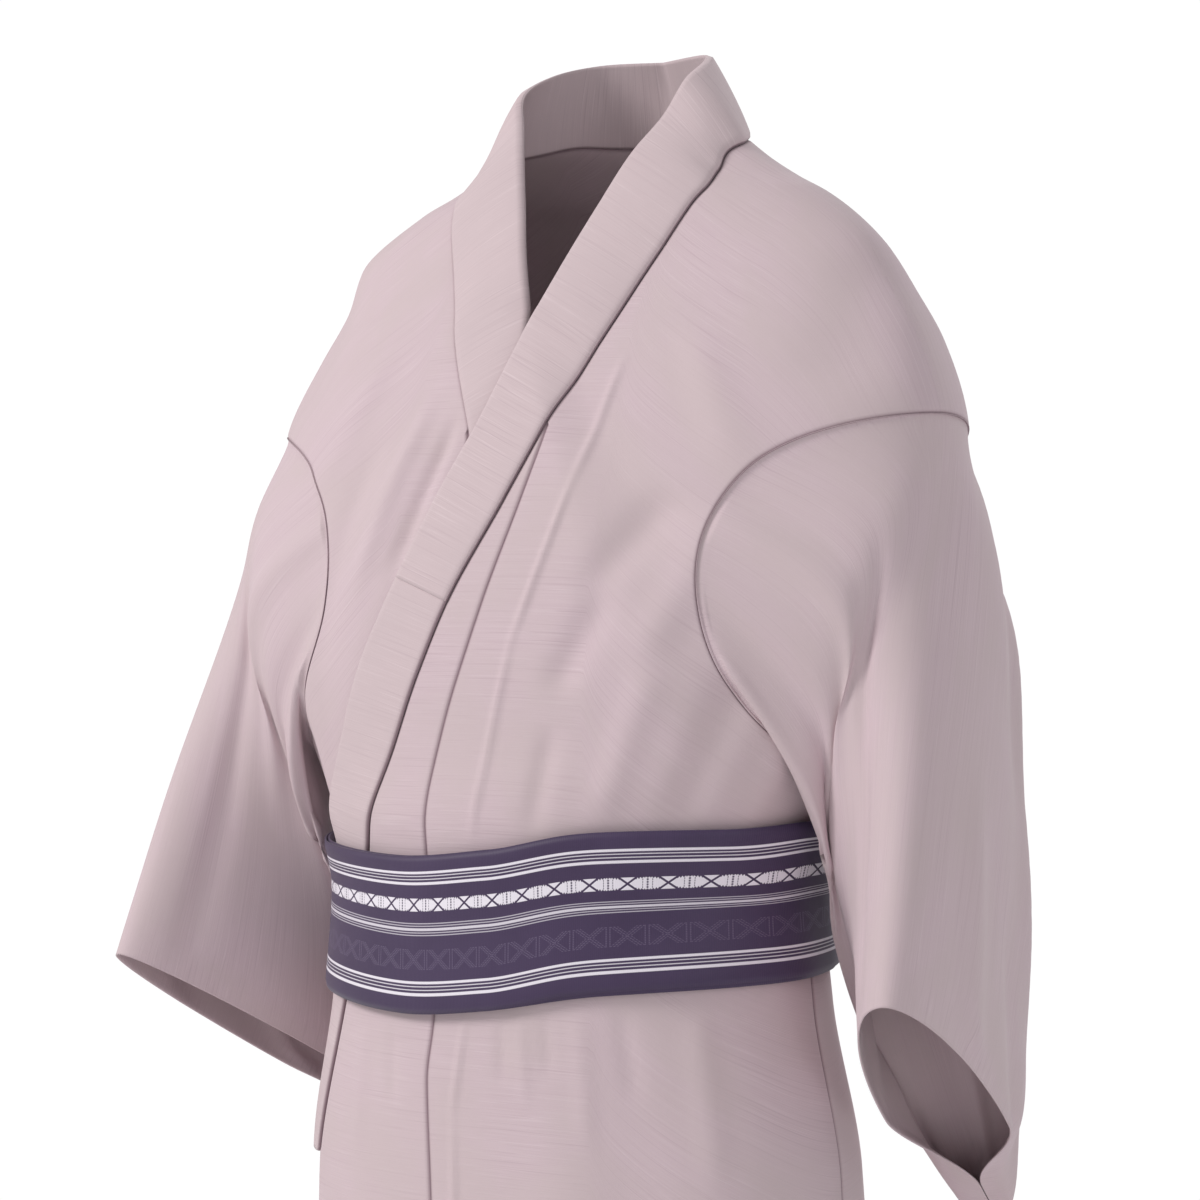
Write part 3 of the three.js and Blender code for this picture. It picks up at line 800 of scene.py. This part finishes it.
def panelColumns(apart, count):
    # places from nothing to one across a panel, for each row's own width in millimetres
    near = np.array(besideSeam)[None, :] / apart[:, None]
    last = near[:, -1:]
    middle = last + (1 - 2 * last) * spaced(0, 1, count)[None, 1:-1] ** bodyCut["crowding"]
    return joined(near, middle, 1 - near[:, ::-1], axis=1)


def panelPlaces(startAngle, startZ, endAngle, endZ, count, narrowest=0):
    # a grid of places between a panel's two long edges, half a seam's gap inside each of them
    apart = np.linalg.norm(bodyPoint(startAngle, startZ) - bodyPoint(endAngle, endZ), axis=-1)
    apart = np.maximum(apart, narrowest)
    trim = (seamGap / 2 / apart)[:, None]
    t = trim + (1 - 2 * trim) * panelColumns(apart, count)
    return mix(startAngle[:, None], endAngle[:, None], t), mix(startZ[:, None], endZ[:, None], t)


def panelGrid(side, angle, z):
    # inner and outer points of a panel, which dips beside its seams, and the mark of its seams
    points = clothPoint(side, angle, z)
    reach = np.linalg.norm(np.diff(points, axis=1), axis=-1)
    reach = joined(np.zeros((len(points), 1)), np.cumsum(reach, axis=1), axis=1)
    seam = np.clip(seamMark(reach) + seamMark(reach[:, -1:] - reach), 0, 1)
    outer = points + outward(side * angle, z) * (clothThick - bodyCut["seamDip"] * seam)[..., None]
    return points, outer, seam


def bodyHalf(half, side):
    fanAngle, fanZ = fanPlaces()
    steps = np.linalg.norm(np.diff(bodyPoint(fanAngle, fanZ), axis=0), axis=-1)
    lengths = joined([0], np.cumsum(steps))
    outAngle, outZ = armholePlace(np.pi * (2 * lengths / lengths[-1] - 1))
    waistZ = underarmZ - 4
    skirtTop, waistEnd = bodyCut["skirtTop"], bodyCut["waistEnd"]
    backSkirt = spaced(hemZ, skirtTop, bodyRows["skirt"])
    backZ = joined(backSkirt, spaced(waistEnd, waistZ, bodyRows["backWaist"]))
    frontSkirt = spaced(skirtTop, hemZ, bodyRows["skirt"])
    frontZ = joined(spaced(waistZ, waistEnd, bodyRows["frontWaist"]), frontSkirt)
    startAngle = joined(np.full(len(backZ), 180.0), fanAngle, overlapSeam(frontZ))
    startZ = joined(backZ, fanZ, frontZ)
    backSide, frontSide = (np.full(len(rows), armhole["angle"]) for rows in (backZ, frontZ))
    endAngle = joined(backSide, outAngle, frontSide)
    endZ = joined(backZ, outZ, frontZ)
    angle, z = panelPlaces(startAngle, startZ, endAngle, endZ, bodyCut["across"])
    inner, outer, seam = panelGrid(side, angle, z)
    # the weft runs straight across; its threads are counted down from the shoulder's top line
    points = bodyPoint(angle, z)
    ridgeZ = np.linspace(-300, 40, 200)
    ridge = bodyPoint(armhole["angle"], ridgeZ)
    widest = np.argmax(ridge[:, 0])
    topZ = np.interp(points[..., 0], ridge[widest:, 0][::-1], ridgeZ[widest:][::-1])
    topY = np.interp(points[..., 0], ridge[widest:, 0][::-1], ridge[widest:, 1][::-1])
    front = np.where(angle < armhole["angle"], 1, -1)
    v = front * np.hypot(topZ - z, points[..., 1] - topY)
    overShoulder = points[..., 0] * shoulderStretch * front
    u = mix(angle * degreeWidth * front, overShoulder, ease(-230, -90, z))
    uv = np.stack([u, v], -1) * 0.001 + (3.0 if side > 0 else 5.0)
    piece = pieceMesh(f"kimono_body_{half}", inner, outer, uv, seam=seam)
    finishPiece(piece, f"body_{half}", clothMaterial)


# the panel runs to a point at its top, and its columns are spaced as if it were 12 mm wide there
overlapCut = {"across": 30, "upper": 150, "lower": 100, "narrowest": 12, "hemColumns": 8,
              "flat": (0.15, 1.24), "area": 0.15}


def overlapPanel(half, side):
    upper = spaced(tipZ, collarEndZ, overlapCut["upper"])
    z = joined(upper, spaced(collarEndZ - 6, hemZ, overlapCut["lower"]))
    across, narrowest = overlapCut["across"], overlapCut["narrowest"]
    angle, rows = panelPlaces(overlapSeam(z), z, overlapEdge(z), z, across, narrowest)
    inner, outer, seam = panelGrid(side, angle, rows)
    uv = np.stack([angle * degreeWidth, -rows], -1) * 0.001 + (7.0 if side > 0 else 9.0)
    # the lower front edge is a plain hem, without a sewn line
    seam[z < collarEndZ, -overlapCut["hemColumns"] :] = 0
    piece = pieceMesh(f"kimono_overlap_{half}", inner, outer, uv, seam=seam)
    finishPiece(piece, f"overlap_{half}", clothMaterial)


for half, side in sides.items():
    bodyHalf(half, side)
    overlapPanel(half, side)
print("body panels made")


def smoothLine(points, at):
    # the curve through points along the second axis, at places from nothing to one
    before = 2 * points[:, :1] - points[:, 1:2]
    after = 2 * points[:, -1:] - points[:, -2:-1]
    full = joined(before, points, after, axis=1)
    place = np.asarray(at) * (points.shape[1] - 1)
    i = np.clip(place.astype(int), 0, points.shape[1] - 2)
    p0, p1, p2, p3 = (full[:, i + k] for k in range(4))
    apart = [np.linalg.norm(a - b, axis=-1, keepdims=True) for a, b in ((p0, p1), (p1, p2), (p2, p3))]
    d0, d1, d2 = (np.maximum(distance, 1e-6) ** 0.5 for distance in apart)
    startSlope = ((p1 - p0) / d0 - (p2 - p0) / (d0 + d1) + (p2 - p1) / d1) * d1
    endSlope = ((p2 - p1) / d1 - (p3 - p1) / (d1 + d2) + (p3 - p2) / d2) * d1
    return hermite((place - i)[None, :, None], p1, startSlope, p2, endSlope)


# the sleeves, bags of cloth that are open at the armhole and for the upper part of the cuff;
# the angle runs round the sleeve from the upper fold, over the outer face, to the lower fold
sleeveCut = {"around": 200, "along": 150, "length": 350.0, "girth": 740.0, "turnOut": (0, 0.04),
             "foldsRise": (0.05, 0.24), "sewnFlat": (0.62, 0.9), "rimThin": 0.35, "rimWidth": 2.5,
             "flat": (0.33, 0.7)}
# the folds' Z is the way from the armhole
sleeveFolds = [
    (60, 8, 104, 96, 12, -3.0),
    (84, 4, 128, 110, 12, 3.0),
    (112, 10, 150, 120, 12, -2.8),
    (38, 60, 76, 190, 14, 3.0),
    (58, 110, 92, 240, 13, -3.4),
    (96, 120, 124, 300, 16, 3.4),
    (120, 140, 146, 330, 14, -3.0),
    (70, 230, 98, 346, 13, 2.6),
    (40, 210, 58, 340, 12, -2.4),
    (150, 120, 166, 300, 12, 2.4),
    (24, 20, 40, 110, 10, -2.2),
    (208, 40, 226, 200, 14, 2.6),
    (236, 20, 250, 170, 14, -2.8),
    (262, 60, 270, 300, 14, 2.6),
    (292, 30, 300, 200, 13, -2.6),
    (318, 120, 326, 330, 12, 2.2),
    (196, 180, 206, 330, 11, -2.2),
    (242, 200, 250, 340, 13, 2.2),
]
sleeveFolds = [dict(zip(foldColumns, row)) for row in sleeveFolds]


def sleeveLines(side, turn, down):
    # for each turn round the sleeve, the points from the armhole seam to the cuff
    inside = 1 - seamGap / armhole["halfHeight"]
    angle, z = armholePlace(-turn)
    angle, z = mix(armhole["angle"], angle, inside), mix(armhole["z"], z, inside)
    seamOut = outward(side * angle, z)
    start = clothPoint(side, angle, z)
    middle = bodyPoint(side * armhole["angle"], armhole["z"])
    standing = mix(sleeveStart["under"], sleeveStart["top"], (1 + np.cos(turn)) / 2)
    leaving = mix(start, middle, sleeveStart["inwards"]) + seamOut * standing[:, None]
    rows = {name: np.array(values, float) for name, values in sleeve.items()}
    fold, tail = (np.stack([rows[line + axis] for axis in "XYZ"], -1) for line in ("fold", "tail"))
    stand = np.stack([rows["outX"], rows["outY"], 0 * rows["outX"]], -1)
    still = 1 - rows["sewn"] * ease(sewnFrom["start"], sewnFrom["end"], down)
    places = mix(fold, tail, down[..., None]) + stand * (np.sin(turn)[:, None] * still)[..., None]
    if side < 0:
        places[..., 0] = rows["nearer"] * (1 - down) - places[..., 0]
    return joined(start[:, None], leaving[:, None], places, axis=1), seamOut


def sleevePiece(half, side):
    turn = np.linspace(0, 2 * np.pi, sleeveCut["around"], endpoint=False)
    down = ((1 - np.cos(turn)) / 2)[:, None]
    lines, seamOut = sleeveLines(side, turn, down)
    t = spaced(0, 1, sleeveCut["along"])
    grid = smoothLine(lines, t).transpose(1, 0, 2)
    along = np.gradient(grid, axis=0)
    around = np.roll(grid, -1, axis=1) - np.roll(grid, 1, axis=1)
    normal = -side * unit(np.cross(along, around))
    normal = unit(mix(seamOut[None], normal, ease(*sleeveCut["turnOut"], t)[:, None, None]))
    degrees = np.degrees(turn)[None, :] + 0 * t[:, None]
    runs = t[:, None] * sleeveCut["length"] + 0 * degrees
    height = foldHeight(sleeveFolds, degrees, runs, scale=sleeveCut["girth"] / 360)
    height *= ease(*sleeveCut["foldsRise"], t)[:, None]
    # the sewn-up part stays flat, so that its two faces don't meet
    nearCuff = ease(*sleeveCut["sewnFlat"], t)[:, None]
    height *= 1 - nearCuff * ease(sewnFrom["start"] - 0.1, sewnFrom["end"], down.T)
    inner = grid + normal * height[..., None]
    fromCuff = (1 - t) * sleeveCut["length"]
    rim = 1 - sleeveCut["rimThin"] * np.exp(-((fromCuff / sleeveCut["rimWidth"]) ** 2))
    outer = inner + normal * (clothThick * rim)[:, None, None]
    uv = np.stack([degrees / 360 * sleeveCut["girth"], runs], -1) * 0.001
    name = f"kimono_sleeve_{half}"
    piece = pieceMesh(name, inner, outer, uv, closed=True, seam=seamMark(runs))
    # the weft runs from the armhole to the cuff
    layer = piece.data.uv_layers["cloth"].data
    flat = np.zeros(len(layer) * 2, np.float32)
    layer.foreach_get("uv", flat)
    flat = flat.reshape(-1, 2)[:, ::-1] + (11.0 if side > 0 else 13.0)
    layer.foreach_set("uv", np.ascontiguousarray(flat).ravel())
    finishPiece(piece, f"sleeve_{half}", clothMaterial)


for half, side in sides.items():
    sleevePiece(half, side)
print("sleeves made")


# the collar, one folded band, and the over-collar that lies on it
collarCut = {"across": 26, "neck": 130, "fronts": 190, "bow": 2.2, "freeFor": 55, "edge": 2.4,
             "edgeThin": 0.62, "seamSpread": 1.5, "seamThin": 0.3, "overEdge": 2.0, "overThin": 0.45,
             "measuredAt": 8, "flat": (0.055, 1.58), "overFlat": (0.055, 0.9)}


def collarStations(side):
    # rows of points across the collar's inner face, from the centre back to the lower end
    edges = []
    for seamAngle, x, y, z in zip(neck["seamAngle"], neck["edgeX"], neck["edgeY"], neck["edgeZ"]):
        rise = leftLift(side * seamAngle, z) if side > 0 else 0.0
        edges.append([side * x, y - rise, z])
    edges.append(clothPoint(side, crossing["edgeAngle"][0], np.float64(crossing["edgeZ"][0])))
    at = spaced(0, neckSteps, collarCut["neck"])[:-1]
    neckEdge = smoothLine(np.array(edges)[None], at / neckSteps)[0]
    neckAngle, neckZ = neckSeam(at)
    t = spaced(0, 1, collarCut["across"])
    atNeck = mix(clothPoint(side, neckAngle, neckZ)[:, None], neckEdge[:, None], t[None, :, None])
    lowZ = spaced(crossing["seamZ"][0], collarEndZ, collarCut["fronts"])
    lowAngle, edgeAngle, edgeZ = (
        column(crossing, "seamZ", name, lowZ) for name in ("seamAngle", "edgeAngle", "edgeZ")
    )
    crossAngle = mix(lowAngle[:, None], edgeAngle[:, None], t[None, :])
    crossZ = mix(lowZ[:, None], edgeZ[:, None], t[None, :])
    onFront = clothPoint(side, crossAngle, crossZ)
    # the band is straight across at the neck and lies down on the front a little below it
    free = 1 - ease(0, collarCut["freeFor"], crossing["seamZ"][0] - lowZ)
    chord = mix(onFront[:, :1], onFront[:, -1:], t[None, :, None])
    points = joined(atNeck, mix(onFront, chord, free[:, None, None]))
    seamOut = joined(outward(side * neckAngle, neckZ), outward(side * lowAngle, lowZ))
    return points, seamOut, joined(np.ones(len(at)), free), joined(neckZ, lowZ)


def collarGrid():
    right = collarStations(-1)
    left = collarStations(1)
    points, seamOut, bowed, zs = (joined(a[::-1], b[1:]) for a, b in zip(left, right))
    t = spaced(0, 1, collarCut["across"])
    width = points[:, -1] - points[:, 0]
    middle = (points[:, 0] + points[:, -1]) / 2
    bandOut = unit(np.cross(np.gradient(middle, axis=0), width))
    bow = collarCut["bow"] * 4 * t * (1 - t)
    inner = points + bandOut[:, None] * (bow[None, :] * bowed[:, None])[..., None]
    lean = ease(0, 0.5, t)[None, :, None]
    out = unit(mix(seamOut[:, None], bandOut[:, None], lean))
    trim = unit(width)[:, None] * ((1 - t)[None, :, None] ** 12 * seamGap / 2)
    return inner + trim, out, zs, np.linalg.norm(width, axis=-1)


def collarPieces():
    inner, out, zs, widths = collarGrid()
    t = spaced(0, 1, collarCut["across"])
    fromEdge = widths[:, None] * (1 - t)[None, :]
    fromSeam = widths[:, None] * t[None, :]
    rounded = 1 - collarCut["edgeThin"] * (1 - ease(0, collarCut["edge"], fromEdge))
    rounded *= 1 - collarCut["seamThin"] * np.exp(-((fromSeam / collarCut["seamSpread"]) ** 2))
    outer = inner + out * (collarThick * rounded)[..., None]
    steps = np.linalg.norm(np.diff(inner[:, collarCut["measuredAt"]], axis=0), axis=-1)
    length = joined([0], np.cumsum(steps))
    bandUv = np.stack([fromSeam, length[:, None] + 0 * fromSeam], -1) * 0.001 + 15.0
    collar = pieceMesh("kimono_collar", inner, outer, bandUv, seam=seamMark(fromSeam))
    finishPiece(collar, "collar", collarMaterial)

    shown = np.nonzero(zs >= overCollarEndZ)[0]
    rows = slice(shown[0], shown[-1] + 1)
    ends = length[rows]
    fromEnd = np.minimum(ends - ends[0], ends[-1] - ends)[:, None]
    thinned = 1 - collarCut["overThin"] * (1 - ease(0, collarCut["overEdge"], fromEnd))
    overInner = outer[rows] + out[rows] * seamGap
    overOuter = overInner + out[rows] * (overCollarThick * thinned * rounded[rows])[..., None]
    overCollar = pieceMesh("kimono_over_collar", overInner, overOuter, bandUv[rows] + 2.0)
    finishPiece(overCollar, "over_collar", collarMaterial)


collarPieces()
print("collar made")


# the sash, two turns and a knot behind
sashCut = {"around": 520, "across": 26, "degreeLength": 2.35, "edge": 1.6, "edgeThin": 0.5,
           "rise": (6, 30), "fall": (140, 175), "lapEnds": (80, 118), "flat": (0.093, 0.91)}


def sashTurn(name, node, turn):
    angle = np.linspace(-180, 180, sashCut["around"], endpoint=False)[None, :]
    across = spaced(0.5, -0.5, sashCut["across"])[:, None]
    risen = turn * sash["outerTurnRise"] * ease(*sashCut["rise"], angle)
    risen = risen * (1 - ease(*sashCut["fall"], angle))
    z = column(sashLine, "angle", "z", angle) + across * sash["width"] + risen
    overLap = leftLift(angle, z) * (1 - ease(*sashCut["lapEnds"], -angle))
    lift = overLap + sash["standOff"] + turn * sash["turnStep"]
    angle = angle + 0 * z
    inner = onBody(angle, z, lift)
    fromRim = sash["width"] * (0.5 - np.abs(across))
    thinned = 1 - sashCut["edgeThin"] * (1 - ease(0, sashCut["edge"], fromRim)) + 0 * angle
    outer = inner + outward(angle, z) * (sashThick * thinned)[..., None]
    u = (angle + 180) * sashCut["degreeLength"] * 0.001
    v = (0.5 - across) * sash["width"] * 0.001 + 0 * angle
    piece = pieceMesh(name, inner, outer, np.stack([u, v], -1), closed=True)
    finishPiece(piece, node, sashMaterial)


sashTurn("sash_inner_turn_cloth", "sash_inner_turn", 0)
sashTurn("sash_outer_turn_cloth", "sash_outer_turn", 1)

knotBandSize = {"reach": 48.2, "depth": 7, "width": 70, "tilt": 24, "x": 0, "y": 124.1, "z": -420}
tailSize = {"length": 178, "width": 90, "thick": 4, "bend": 16, "tilt": 24, "x": 30, "y": 122.1, "z": -406}
handSize = {"length": 150, "width": 44, "thick": 4, "bend": 0, "tilt": 150, "x": -26, "y": 110.6, "z": -405}
endCut = {"along": 60, "across": 24, "edge": 3.0, "edgeThin": 0.65, "uvStart": 0.4}
bandCut = {"around": 96, "across": 30, "girth": 0.2, "uvStart": 0.012}


def turnedAndSet(x, y, z, size):
    x, y, z = np.broadcast_arrays(x, y, z)
    tilt = math.radians(size["tilt"])
    turnedX = x * math.cos(tilt) - z * math.sin(tilt)
    turnedZ = x * math.sin(tilt) + z * math.cos(tilt)
    return np.stack([turnedX + size["x"], y + size["y"], turnedZ + size["z"]], -1)


def knotEnd(name, node, size):
    along = spaced(-0.5, 0.5, endCut["along"])[:, None]
    across = spaced(0.5, -0.5, endCut["across"])[None, :]
    middle = size["bend"] * np.maximum(0, 2 * along) ** 2 + size["thick"] / 2
    fromSide = size["width"] * (0.5 - np.abs(across))
    fromEnd = size["length"] * (0.5 - np.abs(along))
    full = ease(0, endCut["edge"], np.minimum(fromSide, fromEnd))
    halfThick = size["thick"] * 0.5 * (1 - endCut["edgeThin"] * (1 - full))
    x, z = along * size["length"] + 0 * across, across * size["width"] + 0 * along
    inner = turnedAndSet(x, middle - halfThick, z, size)
    outer = turnedAndSet(x, middle + halfThick, z, size)
    uv = np.stack([x * 0.001 + endCut["uvStart"], size["width"] * 0.0005 - z * 0.001], -1)
    piece = pieceMesh(name, inner, outer, uv)
    finishPiece(piece, node, sashMaterial)


def knotBand(name, node, size):
    turn = np.linspace(0, 2 * np.pi, bandCut["around"], endpoint=False)[None, :]
    across = spaced(-0.5, 0.5, bandCut["across"])[:, None]
    x = across * size["width"] + 0 * turn
    inner, outer = (
        turnedAndSet(x, np.sin(turn) * (size["depth"] + out), np.cos(turn) * (size["reach"] + out), size)
        for out in (0, sashThick)
    )
    u = turn / (2 * np.pi) * bandCut["girth"] + 0 * across
    v = (0.5 + across) * size["width"] * 0.001 + bandCut["uvStart"] + 0 * turn
    piece = pieceMesh(name, inner, outer, np.stack([u, v], -1), closed=True)
    finishPiece(piece, node, sashMaterial)


knotEnd("sash_tail_cloth", "sash_tail_end", tailSize)
knotEnd("sash_hand_cloth", "sash_hand_end", handSize)
knotBand("sash_knot_cloth", "sash_knot", knotBandSize)
print("sash made")


# a pale room with soft light; the world looks brighter to the camera than the light it gives
roomSize = {"reach": 2.4, "floorZ": -1.5, "light": 0.47, "seen": 0.55}
lamps = {
    "key": {"at": (-1.9, -2.3, 1.5), "size": 1.3, "power": 74, "colour": (1.0, 0.985, 0.965)},
    "fill": {"at": (2.6, -1.4, 0.2), "size": 2.2, "power": 11, "colour": (0.96, 0.975, 1.0)},
    "back": {"at": (0.4, 2.8, 1.6), "size": 2.0, "power": 30, "colour": (1.0, 1.0, 1.0)},
}
lampAim = (0, 0, -0.35)


def room():
    floorMaterial, w, shader = startMaterial("pale_floor")
    place = w.node("ShaderNodeTexCoord").outputs["Object"]
    tone = groupNode(w, clothTone, Place=place, Size=1.5)
    pale = w.blend(tone.outputs[0], srgb(246, 246, 246), srgb(252, 252, 252))
    w.put(shader.inputs["Base Color"], pale)
    shader.inputs["Roughness"].default_value = 0.9
    mesh = bpy.data.meshes.new("floor")
    reach = roomSize["reach"]
    corners = [(-reach, -reach, 0), (reach, -reach, 0), (reach, reach, 0), (-reach, reach, 0)]
    mesh.from_pydata(corners, [], [(0, 1, 2, 3)])
    floor = bpy.data.objects.new("floor", mesh)
    floor.location.z = roomSize["floorZ"]
    floor.data.materials.append(floorMaterial)
    scene.collection.objects.link(floor)
    world = bpy.data.worlds.new("room")
    scene.world = world
    world.use_nodes = True
    w = Wires(world.node_tree)
    background = next(node for node in world.node_tree.nodes if node.type == "BACKGROUND")
    background.inputs["Color"].default_value = (1, 1, 1, 1)
    seen = w.node("ShaderNodeLightPath").outputs["Is Camera Ray"]
    strength = w.math("MULTIPLY_ADD", seen, roomSize["seen"], roomSize["light"])
    w.put(background.inputs["Strength"], strength)


def lamp(name, at, size, power, colour):
    data = bpy.data.lights.new(name, "AREA")
    data.shape = "DISK"
    data.size = size
    data.energy = power
    data.color = colour
    made = bpy.data.objects.new(name, data)
    made.location = at
    aim = np.array(lampAim) - np.array(at)
    made.rotation_euler = (
        math.acos(-aim[2] / np.linalg.norm(aim)),
        0,
        math.atan2(-aim[0], aim[1]),
    )
    scene.collection.objects.link(made)


room()
for name, settings in lamps.items():
    lamp(name, **settings)
scene.view_settings.view_transform = "Standard"
print("room and light set")
